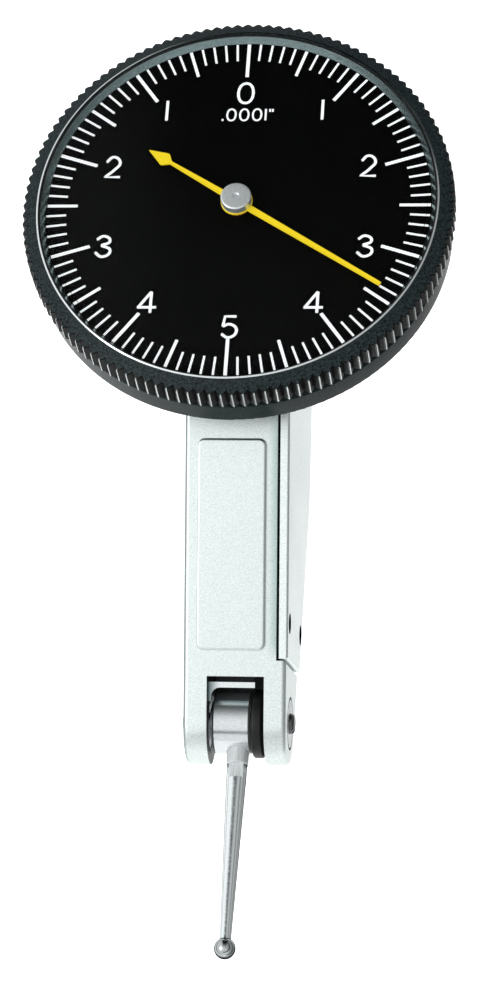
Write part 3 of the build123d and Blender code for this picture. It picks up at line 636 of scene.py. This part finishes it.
# %% Contact stem
stem_steel = finish(
    "stem_steel", grey(0.92), grey(1.0), (0.08, 0.13), 0.2 * mm, 0.0008 * mm,
    metallic=0.72, Specular_IOR_Level=0.3,
)
milled_flat = finish(
    "milled_flat", grey(0.7), grey(1.0), (0.3, 0.4), 0.12 * mm, 0.006 * mm,
    metallic=0.15, stretch=(1, 0.06, 1),
)
flat_half = 0.575 * mm
collar_reach = 0.85 * mm
flat_lean = 0.99
across_stem = (1, 0, 1)


def stem_zone(face):
    """One on the stem's collar and its two wrench flats, zero on its round."""
    across = (face.calc_center_median() - pivot) * Vector(across_stem)
    flat = abs(face.normal.z) > flat_lean and abs(abs(across.z) - flat_half) < tiny
    return 1 if flat or across.length > collar_reach else 0


for material in (stem_steel, carbide):
    paint_side_reflections(material)
paint_streak_reflection(stem_steel)
stem = smooth_copy("contact_stem", stem_steel, milled_flat, zone=stem_zone)
mark_sides(stem, pivot, across_stem)
print("stem points marked:", len(stem.data.vertices))

# %% [markdown]
# The swivel hub is ground, and its top under the shield gets a painted shade. The shield is a small plate that
# keeps dust out of the slot, and its left end lies in the shade of the fork's wall. Both are shades with masks on
# the object's coordinates, as on the body's strip.

# %% Hub and shield
shield_shade_start, shield_shade_full = 0.5 * mm, 2.1 * mm
shield_shade_tone = (0.6, 0.66, 0.66)
end_length = 1.1 * mm
end_tone = (0.24, 0.29, 0.29)


def shade_under_shield(material):
    """Paints the shield's shade on the hub, darker towards its top."""
    tree = material.node_tree
    place = tree.nodes.new("ShaderNodeTexCoord").outputs["Object"]
    low = pivot.dot(up_front)
    hub_shade = ramp_between(tree, along(tree, place, up_front), low + shield_shade_start, low + shield_shade_full, 0, 1)
    multiply_base(material, hub_shade, shield_shade_tone)


def shade_left_end(material):
    """Darkens the shield's left end."""
    tree = material.node_tree
    place = tree.nodes.new("ShaderNodeTexCoord").outputs["Object"]
    end = ramp_between(tree, along(tree, place, (1, 0, 0)), -slot_half, -slot_half + end_length, 1, 0)
    multiply_base(material, end, end_tone)


shield_steel = finish(
    "shield_steel", grey(0.74), grey(0.88), (0.2, 0.28), 0.1 * mm, 0.002 * mm, metallic=1.0
)
shade_left_end(shield_steel)
hub_steel = finish(
    "hub_steel", grey(0.7), grey(0.84), (0.15, 0.22), 0.1 * mm, 0.003 * mm,
    metallic=0.88, stretch=(0.3, 1, 1),
)
shade_under_shield(hub_steel)
print("hub darkens from", round(shield_shade_start / mm, 2), "mm above the pivot")

# %% [markdown]
# The other steel pieces keep one finish each, so a table of node and finish is enough. The ball gets its
# marks from its own centre.

# %% Steel pieces
steel_nodes = {
    "left_pivot_screw": left_screw_shade_black,
    "right_pivot_screw": turned_dark,
    "cover_screws": black_steel,
    "dust_shield": shield_steel,
    "swivel_hub": hub_steel,
    "contact_ball": carbide,
    "lever_arm": black_steel,
}
steel_pieces = {node: smooth_copy(node, material) for node, material in steel_nodes.items()}
ball_low, ball_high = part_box("contact_ball")
mark_sides(steel_pieces["contact_ball"], (ball_low + ball_high) / 2)
print("steel pieces:", len(steel_pieces))

# %% [markdown]
# The dial is a thin plate with a dead black coat. Its white graduations are printed: a hundred lines,
# longer at every fifth and tenth. Each line is a thin plate of ink that lies on the black.

# %% Dial and graduations
dial_black = finish(
    "dial_black", grey(0.0012), grey(0.002), (0.6, 0.75), 0.1 * mm, 0.001 * mm, Specular_IOR_Level=0.02
)
frame["nodes"]["dial_plate"].data.materials.clear()
frame["nodes"]["dial_plate"].data.materials.append(dial_black)
# The white ink has a faint painted glow, so that it stays bright under the crystal.
dial_white = finish(
    "dial_white", grey(0.9), grey(0.96), (0.5, 0.6), 0.08 * mm, 0.001 * mm,
    Specular_IOR_Level=0.2, Emission_Color=(1, 1, 1, 1), Emission_Strength=0.35,
)

divisions = 100
line_outer = 15.5 * mm
tenth_length, tenth_width = 3.2 * mm, 0.28 * mm
fifth_length, fifth_width = 2.5 * mm, 0.25 * mm
line_length, line_width = 1.6 * mm, 0.18 * mm
ink_thickness = 0.015 * mm
on_dial = Matrix.Translation(dial_centre)


def ink_bar(ink, length, width, outer, angle):
    """One printed line that ends at a radius, turned clockwise from twelve o'clock."""
    bar = bmesh.ops.create_cube(ink, size=1)["verts"]
    bmesh.ops.scale(ink, verts=bar, vec=(width, length, ink_thickness))
    bmesh.ops.translate(ink, verts=bar, vec=(0, outer - length / 2, ink_thickness / 2))
    bmesh.ops.transform(ink, verts=bar, matrix=on_dial @ Matrix.Rotation(-angle, 4, "Z"))


ink = bmesh.new()
for line in range(divisions):
    angle = 2 * pi * line / divisions
    if line % 10 == 0:
        ink_bar(ink, tenth_length, tenth_width, line_outer, angle)
    elif line % 5 == 0:
        ink_bar(ink, fifth_length, fifth_width, line_outer, angle)
    else:
        ink_bar(ink, line_length, line_width, line_outer, angle)
graduations = place_piece("dial_graduations", ink, "bezel")
graduations.data.materials.append(dial_white)
print("graduations:", divisions, "lines")

# %% [markdown]
# The numerals count tens from zero at the top to five at the bottom on both sides. They are drawn with one
# even stroke, as an engraving machine does, so each is a curve with a round bevel that is pressed flat into
# a layer of ink. A round point takes a smooth handle, and a corner takes a straight one.

# %% Numeral strokes
numeral_strokes = {
    "0": [[("round", 0, 0.5), ("round", 0.32, 0), ("round", 0, -0.5), ("round", -0.32, 0), "closed"]],
    "1": [[("corner", 0, 0.5), ("corner", 0, -0.5)]],
    "2": [
        [
            ("round", -0.29, 0.24),
            ("round", 0, 0.5),
            ("round", 0.29, 0.22),
            ("round", 0.08, -0.13),
            ("corner", -0.31, -0.5),
            ("corner", 0.33, -0.5),
        ]
    ],
    "3": [
        [("round", -0.29, 0.33), ("round", 0, 0.5), ("round", 0.27, 0.27), ("round", -0.08, 0.05)],
        [("round", -0.08, 0.05), ("round", 0.31, -0.21), ("round", 0, -0.5), ("round", -0.33, -0.29)],
    ],
    "4": [
        [("corner", 0.14, -0.5), ("corner", 0.14, 0.5)],
        [("corner", 0.14, 0.5), ("corner", -0.37, -0.24)],
        [("corner", -0.42, -0.24), ("corner", 0.38, -0.24)],
    ],
    "5": [
        [("corner", 0.27, 0.5), ("corner", -0.2, 0.5), ("corner", -0.27, 0.03)],
        [
            ("round", -0.27, 0.03),
            ("round", 0.03, 0.13),
            ("round", 0.31, -0.17),
            ("round", 0, -0.5),
            ("round", -0.31, -0.33),
        ],
    ],
    ".": [[("corner", 0, -0.53), ("corner", 0, -0.36)]],
    "ticks": [
        [("corner", -0.1, 0.5), ("corner", -0.1, 0.25)],
        [("corner", 0.1, 0.5), ("corner", 0.1, 0.25)],
    ],
}

print("strokes drawn for:", list(numeral_strokes))

# %% [markdown]
# A stroke becomes a curve, the curve gets a round bevel and is made a mesh, and the mesh is pressed flat
# into the ink. It is made a mesh first, because a finished piece keeps its place in its mesh.

# %% From stroke to ink


def stroke_mesh(character, height, stroke):
    """A numeral of a height and stroke width about its own middle, as a mesh with a round section."""
    curve = bpy.data.curves.new("stroke", "CURVE")
    curve.dimensions = "3D"
    curve.bevel_depth = stroke / 2
    curve.bevel_resolution = 1
    curve.resolution_u = 8
    curve.use_fill_caps = True
    for points in numeral_strokes[character]:
        spline = curve.splines.new("BEZIER")
        spline.use_cyclic_u = points[-1] == "closed"
        marks = [point for point in points if point != "closed"]
        spline.bezier_points.add(len(marks) - 1)
        for knot, (kind, x, y) in zip(spline.bezier_points, marks):
            knot.co = (x * (height - stroke), y * (height - stroke), 0)
            knot.handle_left_type = knot.handle_right_type = "AUTO" if kind == "round" else "VECTOR"
    writing = bpy.data.objects.new("stroke", curve)
    scene.collection.objects.link(writing)
    bpy.context.view_layer.update()
    mesh = bpy.data.meshes.new_from_object(writing)
    bpy.data.objects.remove(writing)
    return mesh


def print_on_dial(ink, character, height, stroke, x, y):
    """Presses a numeral flat and sets its middle at a place on the dial."""
    mesh = stroke_mesh(character, height, stroke)
    kept = set(ink.verts)
    ink.from_mesh(mesh)
    verts = [v for v in ink.verts if v not in kept]
    bmesh.ops.scale(ink, verts=verts, vec=(1, 1, ink_thickness / stroke))
    bmesh.ops.translate(ink, verts=verts, vec=dial_centre + Vector((x, y, ink_thickness / 2)))


print("stroke helpers ready")

# %% [markdown]
# Each numeral is set upright by its middle, in millimetres from the dial's centre. Under the zero stands
# the plain value of one division.

# %% Numerals on the dial
numeral_height = 2.14 * mm
numeral_stroke = 0.23 * mm
numeral_places = {
    "0": [(0.0, 10.72)],
    "1": [(-6.37, 9.08), (6.37, 9.08)],
    "2": [(-10.4, 3.68), (10.35, 3.7)],
    "3": [(-10.6, -3.8), (10.4, -3.8)],
    "4": [(-6.63, -8.95), (6.63, -8.95)],
    "5": [(0.05, -11.19)],
}
value_height = 1.25 * mm
value_stroke = 0.16 * mm
value_y = 8.63 * mm
value_places = {".": [-1.75], "0": [-1.05, 0.0, 1.05], "1": [1.75], "ticks": [2.2]}

ink = bmesh.new()
for character, places in numeral_places.items():
    for x, y in places:
        print_on_dial(ink, character, numeral_height, numeral_stroke, x * mm, y * mm)
for character, places in value_places.items():
    for x in places:
        print_on_dial(ink, character, value_height, value_stroke, x * mm, value_y)
numerals = place_piece("dial_numerals", ink, "bezel")
numerals.data.materials.append(dial_white)
print("numeral triangles:", sum(len(p.vertices) - 2 for p in numerals.data.polygons))

# %% [markdown]
# The bezel ring turns to set zero, so its rim is knurled for the fingers. Its section is a short list of
# radius and height pairs from the dial's edge over the flare, the lip and the slope to the grip. The
# heights count from the dial's face, and the outer sizes come from the CAD ring's box.

# %% Bezel section
bezel_low, bezel_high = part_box("bezel_ring")
bezel_radius = (bezel_high.x - bezel_low.x) / 2
bezel_bottom = bezel_low.z - dial_centre.z
lip_height = bezel_high.z - dial_centre.z
lip_radius = bezel_radius - 1.41 * mm
lip_edge = 0.12 * mm
lip_round = lip_edge / 3
lip_fall = 0.045 * mm
land_radius = lip_radius + 0.17 * mm
shelf_radius, shelf_height = lip_radius - 0.13 * mm, 0.55 * mm
dial_opening = shelf_radius - 0.36 * mm
bezel_bore = bezel_radius - 1.21 * mm
corner_height = 0.16 * mm
corner_round = 0.08 * mm
fall = (lip_height - lip_fall - corner_height) / (bezel_radius - land_radius)
bezel_section = [
    (dial_opening, 0),
    (shelf_radius, shelf_height),
    (lip_radius, shelf_height),
    (lip_radius, lip_height - lip_edge),
    (lip_radius + lip_round, lip_height),
    (land_radius, lip_height - lip_fall),
    (bezel_radius - corner_round, corner_height + corner_round * fall),
    (bezel_radius, corner_height - corner_round),
    (bezel_radius, bezel_bottom),
    (bezel_bore, bezel_bottom),
    (bezel_bore, 0),
]
print("bezel radius in mm:", round(bezel_radius / mm, 2))

# %% [markdown]
# A straight knurl is the same tooth many times, so one tooth is enough to model. The section is swept
# through a few slices, and the grip's points move in and out on the way: a round crest and a sharp root.
# Where the grip moves in, its top corner climbs, because the slope above it stays one cone.

# %% One tooth of the knurl
teeth = 125
tooth_depth = 0.36 * mm
tooth_slices = 9
crest_round = 0.3
grip_start = land_radius + 0.2 * mm


def crest_curve(share):
    """A rounded V: level at the crest and straight towards the root."""
    return hypot(2 * share, crest_round) - crest_round


def tooth_drop(share):
    """How far the grip lies below the crest, for a share of the pitch from -0.5 to 0.5."""
    return tooth_depth * crest_curve(share) / crest_curve(0.5)


def closed_section(tool, points):
    """A closed loop of edges in the XZ plane from radius and height pairs."""
    verts = [tool.verts.new((radius, 0, height)) for radius, height in points]
    return [tool.edges.new((verts[i - 1], verts[i])) for i in range(len(verts))]


def move_grip(tool, verts, drop):
    """Moves the grip's vertices of one slice inwards; its top corner climbs along the slope."""
    grip = [v for v in verts if v.co.xy.length > grip_start]
    outwards = Vector((grip[0].co.x, grip[0].co.y, 0)).normalized()
    bmesh.ops.translate(tool, verts=grip, vec=-outwards * drop)
    top = [v for v in grip if v.co.z > bezel_bottom / 2]
    bmesh.ops.translate(tool, verts=top, vec=(0, 0, drop * fall))


bezel = bmesh.new()
section = closed_section(bezel, bezel_section)
move_grip(bezel, bezel.verts[:], tooth_drop(-0.5))
step = 2 * pi / teeth / tooth_slices
for piece_of_tooth in range(tooth_slices):
    swept = bmesh.ops.extrude_edge_only(bezel, edges=section)["geom"]
    verts = [g for g in swept if isinstance(g, bmesh.types.BMVert)]
    section = [g for g in swept if isinstance(g, bmesh.types.BMEdge) and set(g.verts) <= set(verts)]
    bmesh.ops.rotate(bezel, verts=verts, cent=(0, 0, 0), matrix=Matrix.Rotation(step, 3, "Z"))
    before = tooth_drop(piece_of_tooth / tooth_slices - 0.5)
    after = tooth_drop((piece_of_tooth + 1) / tooth_slices - 0.5)
    move_grip(bezel, verts, after - before)
print("one tooth has", len(bezel.faces), "faces")

# %% [markdown]
# Spin then repeats the tooth round the dial. The copies only touch, so their doubles are merged, and the
# normals are worked out again because spin can turn a shape inside out.

# %% Spin the tooth round
bmesh.ops.spin(
    bezel,
    geom=bezel.verts[:] + bezel.edges[:] + bezel.faces[:],
    cent=(0, 0, 0),
    axis=(0, 0, 1),
    angle=2 * pi * (teeth - 1) / teeth,
    steps=teeth - 1,
    use_duplicate=True,
)
bmesh.ops.remove_doubles(bezel, verts=bezel.verts, dist=merge_distance)
bmesh.ops.recalc_face_normals(bezel, faces=bezel.faces)
print("bezel faces:", len(bezel.faces))

# %% [markdown]
# Most of the ring has a black wrinkle lacquer. The flare inside is polished, the lip is a bright cut edge, the
# crests of the knurl are worn to the metal, one flank of each tooth gets a metal finish as painted light for its
# lit side, and the grooves get a blacker finish as painted shade. Each face is sorted by its radius and by its
# share of the tooth's pitch.

# %% Bezel finishes
crest_share = (0.44, 0.56)
flank_share = (0.33, 0.44)
grip_lean = (-0.5, 0.8)
flare_room = 0.02 * mm


def bezel_zone(face):
    """The number of the finish that a face of the ring takes."""
    middle = face.calc_center_median()
    reach = middle.xy.length
    if middle.z > 0 and reach < lip_radius - flare_room:
        return 1
    if middle.z > shelf_height and lip_radius + lip_round < reach < land_radius:
        return 2
    if reach <= bezel_bore + tooth_depth or not grip_lean[0] < face.normal.z < grip_lean[1]:
        return 0
    share = atan2(middle.y, middle.x) * teeth / (2 * pi) % 1
    if crest_share[0] < share < crest_share[1]:
        return 3
    return 5 if flank_share[0] < share < flank_share[1] else 4


for face in bezel.faces:
    face.material_index = bezel_zone(face)
bmesh.ops.translate(bezel, verts=bezel.verts, vec=dial_centre)
bezel_piece = place_piece("bezel_knurled", bezel, "bezel", sharp_angle=24)
wrinkle_black = finish(
    "wrinkle_black", (0.0, 0.0005, 0.0007), (0.04, 0.058, 0.062), (0.3, 0.42), 0.16 * mm, 0.03 * mm,
    Specular_IOR_Level=0.11,
)
flare_polish = finish(
    "flare_polish", (0.19, 0.25, 0.255), (0.26, 0.34, 0.345), (0.2, 0.27), 0.1 * mm, 0.001 * mm,
    metallic=1.0,
)
lip_bright = finish("lip_bright", grey(0.75), grey(0.9), (0.12, 0.18), 0.1 * mm, 0.001 * mm, metallic=1.0)
worn_crest = finish("worn_crest", grey(0.4), grey(0.95), (0.25, 0.35), 0.15 * mm, 0.004 * mm, metallic=1.0)
# Painted light: the lit flank of each tooth gets metal.
lit_flank_metal = finish("lit_flank_metal", grey(0.01), grey(0.12), (0.3, 0.4), 0.15 * mm, 0.004 * mm, metallic=1.0)
# Painted shade: the grooves are blacker than the lacquer.
groove_shade_black = finish(
    "groove_shade_black", grey(0.002), grey(0.005), (0.35, 0.45), 0.14 * mm, 0.004 * mm, Specular_IOR_Level=0.1
)
for material in (wrinkle_black, flare_polish, lip_bright, worn_crest, groove_shade_black, lit_flank_metal):
    bezel_piece.data.materials.append(material)
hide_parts("bezel_ring")
print("bezel triangles:", sum(len(p.vertices) - 2 for p in bezel_piece.data.polygons))

# %% [markdown]
# The case under the bezel is smooth and black, with a rounded shoulder that catches a line of light. Its
# CAD shape is right, so a smooth copy with a black, slightly green finish is all it needs.

# %% Case
case_black = finish(
    "case_black", (0.006, 0.013, 0.0135), (0.012, 0.023, 0.024), (0.22, 0.3), 0.15 * mm, 0.002 * mm,
    Specular_IOR_Level=0.11,
)
case_piece = smooth_copy("dial_case", case_black)
print("case piece:", case_piece.name)

# %% [markdown]
# The crystal is a shallow clear dome. The index of refraction is kept far below that of glass, so that the
# crystal hardly mirrors the tent and leaves the dial black, and a thin coat keeps a little gloss. Shadow
# rays and diffuse rays pass straight through, so that the dial is lit without caustics.

# %% Crystal
crystal_index = 1.015
coat_share, coat_blur = 0.06, 0.02


def clear_crystal():
    """Clear glass that lets shadow rays and diffuse rays through unbent."""
    material, shader = new_material("clear_crystal")
    set_inputs(shader, Base_Color=(1, 1, 1, 1), Roughness=0.0, IOR=crystal_index, Transmission_Weight=1.0)
    set_inputs(shader, Coat_Weight=coat_share, Coat_Roughness=coat_blur)
    tree = material.node_tree
    rays = tree.nodes.new("ShaderNodeLightPath").outputs
    either = calculate(tree, "MAXIMUM", rays["Is Shadow Ray"], rays["Is Diffuse Ray"])
    through = tree.nodes.new("ShaderNodeBsdfTransparent")
    mix = tree.nodes.new("ShaderNodeMixShader")
    wire(tree, either, mix.inputs["Fac"])
    wire(tree, shader.outputs["BSDF"], mix.inputs[1])
    wire(tree, through.outputs["BSDF"], mix.inputs[2])
    wire(tree, mix.outputs["Shader"], tree.nodes["Material Output"].inputs["Surface"])
    return material


crystal_piece = smooth_copy("crystal", clear_crystal())
print("crystal piece:", crystal_piece.name)

# %% [markdown]
# The hand is a thin stamping with yellow enamel, and its steel cap is turned. The enamel has a little painted
# glow, as the white ink does, so that both stay bright under the crystal.

# %% Pointer
pointer_yellow = finish(
    "pointer_yellow", (0.94, 0.68, 0.01), (1.0, 0.78, 0.02), (0.4, 0.5), 0.1 * mm, 0.002 * mm,
    Specular_IOR_Level=0.3, Emission_Color=(1, 0.74, 0.02, 1), Emission_Strength=0.15,
)
hand = smooth_copy("pointer_hand", pointer_yellow)
cap_steel = finish("cap_steel", grey(0.72), grey(0.94), (0.3, 0.4), 0.08 * mm, 0.005 * mm, metallic=0.7)
cap = smooth_copy("pointer_hub_cap", cap_steel)
print("pointer pieces:", hand.name, cap.name)

# %% [markdown]
# The movement inside is brass wheels and cocks, ruby bearings, steel arbors and a spring. Their CAD shapes
# stay, and each node takes the finish that its material slot names.

# %% Movement
brass = finish(
    "brass", (0.62, 0.42, 0.16), (0.78, 0.58, 0.27), (0.2, 0.32), 0.12 * mm, 0.002 * mm, metallic=1.0
)
spring_steel = finish(
    "spring_steel", (0.3, 0.32, 0.4), (0.4, 0.42, 0.48), (0.2, 0.3), 0.1 * mm, 0.001 * mm, metallic=1.0
)
ruby = finish("ruby", (0.45, 0.01, 0.05), (0.65, 0.04, 0.1), (0.08, 0.14), 0.2 * mm, 0.0005 * mm)
black_rubber = finish("black_rubber", grey(0.012), grey(0.02), (0.7, 0.85), 0.1 * mm, 0.004 * mm)
by_slot = {
    "brass": brass,
    "spring_steel": spring_steel,
    "ruby": ruby,
    "black_rubber": black_rubber,
    "bright_steel": bright_steel,
    "ground_steel": ground_steel,
    "polished_steel": polished_steel,
    "carbide": carbide,
    "black_steel": black_steel,
}
for node, part in frame["nodes"].items():
    if not part.hide_render and node_slot[node] in by_slot:
        part.data.materials.clear()
        part.data.materials.append(by_slot[node_slot[node]])
print("nodes left as CAD:", [n for n, o in frame["nodes"].items() if not o.hide_render])
